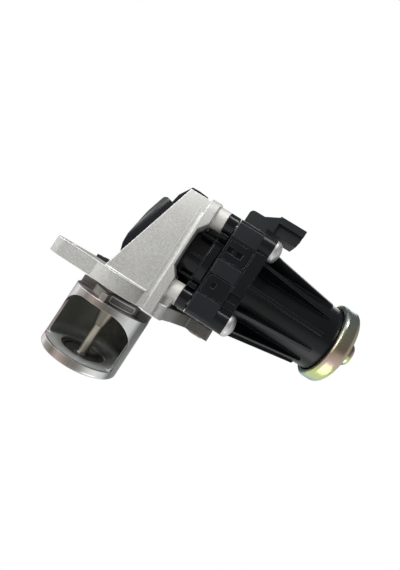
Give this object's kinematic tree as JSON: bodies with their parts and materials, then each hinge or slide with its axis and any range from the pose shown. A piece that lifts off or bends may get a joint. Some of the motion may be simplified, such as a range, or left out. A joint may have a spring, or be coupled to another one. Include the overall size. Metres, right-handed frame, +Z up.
{
  "type": "exhaust gas recirculation valve",
  "caption": "Electric exhaust gas recirculation valve: poppet in a gas cage under a two-ear flange, cast housing with a geared motor in a ribbed black barrel and a plated end cap.",
  "frame": {"origin": "centre of the flange's mounting face on the valve stem's axis", "axes": "+Z up along the valve stem from the gas cage to the housing, +X along the motor axis to its end cap, -Y to the side with the cage's window"},
  "size_m": [0.1986, 0.0685, 0.1503],
  "materials": {
    "cast_housing": "sand-blasted casting",
    "turned_cage": "turned and milled",
    "seat_steel": "turned",
    "guide_bronze": "turned",
    "seal_rubber": "matte",
    "spring_seat_steel": "pressed",
    "spring_steel": "drawn wire",
    "stem_steel": "ground",
    "head_steel": "turned",
    "crosshead_steel": "machined",
    "magnet_black": "sintered",
    "crank_steel": "machined",
    "roller_steel": "ground",
    "bush_bronze": "sintered",
    "carrier_steel": "machined",
    "pin_steel": "ground",
    "planet_steel": "cut teeth",
    "ring_steel": "sintered teeth",
    "sun_brass": "cut teeth",
    "shaft_steel": "ground",
    "armature_iron": "stacked sheet",
    "winding_copper": "enamelled wire",
    "commutator_copper": "turned copper",
    "plate_aluminium": "die cast",
    "bearing_steel": "ground",
    "card_plastic": "moulded",
    "brush_carbon": "pressed carbon",
    "ferrite": "sintered",
    "flux_steel": "rolled sheet",
    "gear_housing_plastic": "satin moulding",
    "motor_housing_plastic": "satin moulding",
    "gasket_rubber": "matte",
    "connector_plastic": "satin moulding",
    "contact_brass": "plated",
    "cap_zinc": "iridescent yellow zinc plate",
    "screw_steel": "matte zinc plate",
    "cover_plastic": "satin moulding",
    "cover_screw_steel": "zinc plate",
    "board_green": "solder mask"
  },
  "bodies": {
    "housing": {"valve_housing": "cast_housing", "valve_cage": "turned_cage", "seat_ring": "seat_steel", "stem_guide": "guide_bronze", "stem_seal": "seal_rubber", "spring_seat": "spring_seat_steel", "return_spring": "spring_steel", "output_bushes": "bush_bronze", "ring_gear": "ring_steel", "bearing_plate": "plate_aluminium", "front_bearing": "bearing_steel", "rear_bearing": "bearing_steel", "brush_card": "card_plastic", "carbon_brushes": "brush_carbon", "field_magnets": "ferrite", "flux_ring": "flux_steel", "gear_housing": "gear_housing_plastic", "gear_housing_seal": "seal_rubber", "motor_housing": "motor_housing_plastic", "motor_gasket": "gasket_rubber", "connector_socket": "connector_plastic", "contact_pins": "contact_brass", "end_cap": "cap_zinc", "housing_screws": "screw_steel", "gear_cover": "cover_plastic", "cover_gasket": "gasket_rubber", "cover_screws": "cover_screw_steel", "sensor_board": "board_green"},
    "rotor": {"rotor_shaft": "shaft_steel", "sun_pinion": "sun_brass", "armature_core": "armature_iron", "armature_windings": "winding_copper", "commutator": "commutator_copper"},
    "crank": {"output_crank": "crank_steel", "planet_carrier": "carrier_steel", "planet_pins": "pin_steel"},
    "planet_1": {"planet_gear_1": "planet_steel"},
    "planet_2": {"planet_gear_2": "planet_steel"},
    "planet_3": {"planet_gear_3": "planet_steel"},
    "roller": {"crank_roller": "roller_steel"},
    "valve": {"valve_stem": "stem_steel", "valve_head": "head_steel", "crosshead": "crosshead_steel", "sensor_magnet": "magnet_black"}
  },
  "joints": [
    {"name": "rotor_spin", "type": "hinge", "parent": "housing", "child": "rotor", "pos_m": [0, 0, 0.04525], "axis": [1, 0, 0], "range_deg": [0, 200]},
    {"name": "crank_turn", "type": "hinge", "parent": "housing", "child": "crank", "pos_m": [0, 0, 0.04525], "axis": [1, 0, 0], "range_deg": [0, 40]},
    {"name": "planet_1_spin", "type": "hinge", "parent": "crank", "child": "planet_1", "pos_m": [0.033, 0.0105, 0.04525], "axis": [1, 0, 0], "range_deg": [-107, 0]},
    {"name": "planet_2_spin", "type": "hinge", "parent": "crank", "child": "planet_2", "pos_m": [0.033, -0.00525, 0.05434], "axis": [1, 0, 0], "range_deg": [-107, 0]},
    {"name": "planet_3_spin", "type": "hinge", "parent": "crank", "child": "planet_3", "pos_m": [0.033, -0.00525, 0.03616], "axis": [1, 0, 0], "range_deg": [-107, 0]},
    {"name": "roller_spin", "type": "hinge", "parent": "crank", "child": "roller", "pos_m": [0, -0.0094, 0.04867], "axis": [1, 0, 0], "range_deg": [-40.5, 0]},
    {"name": "valve_lift", "type": "slide", "parent": "housing", "child": "valve", "axis": [0, 0, -1], "range_m": [0, 0.00685], "stiffness_N_per_m": 20, "springref_m": -0.04, "deforming": ["return_spring"]}
  ],
  "couplings": [
    {"joint": "crank_turn", "follows": "rotor_spin", "ratio": 0.2},
    {"joint": "planet_1_spin", "follows": "rotor_spin", "ratio": -0.53333},
    {"joint": "planet_2_spin", "follows": "rotor_spin", "ratio": -0.53333},
    {"joint": "planet_3_spin", "follows": "rotor_spin", "ratio": -0.53333},
    {"joint": "roller_spin", "follows": "rotor_spin", "ratio": -0.2},
    {"joint": "valve_lift", "follows": "rotor_spin", "m_per_rad": 0.0019596}
  ]
}
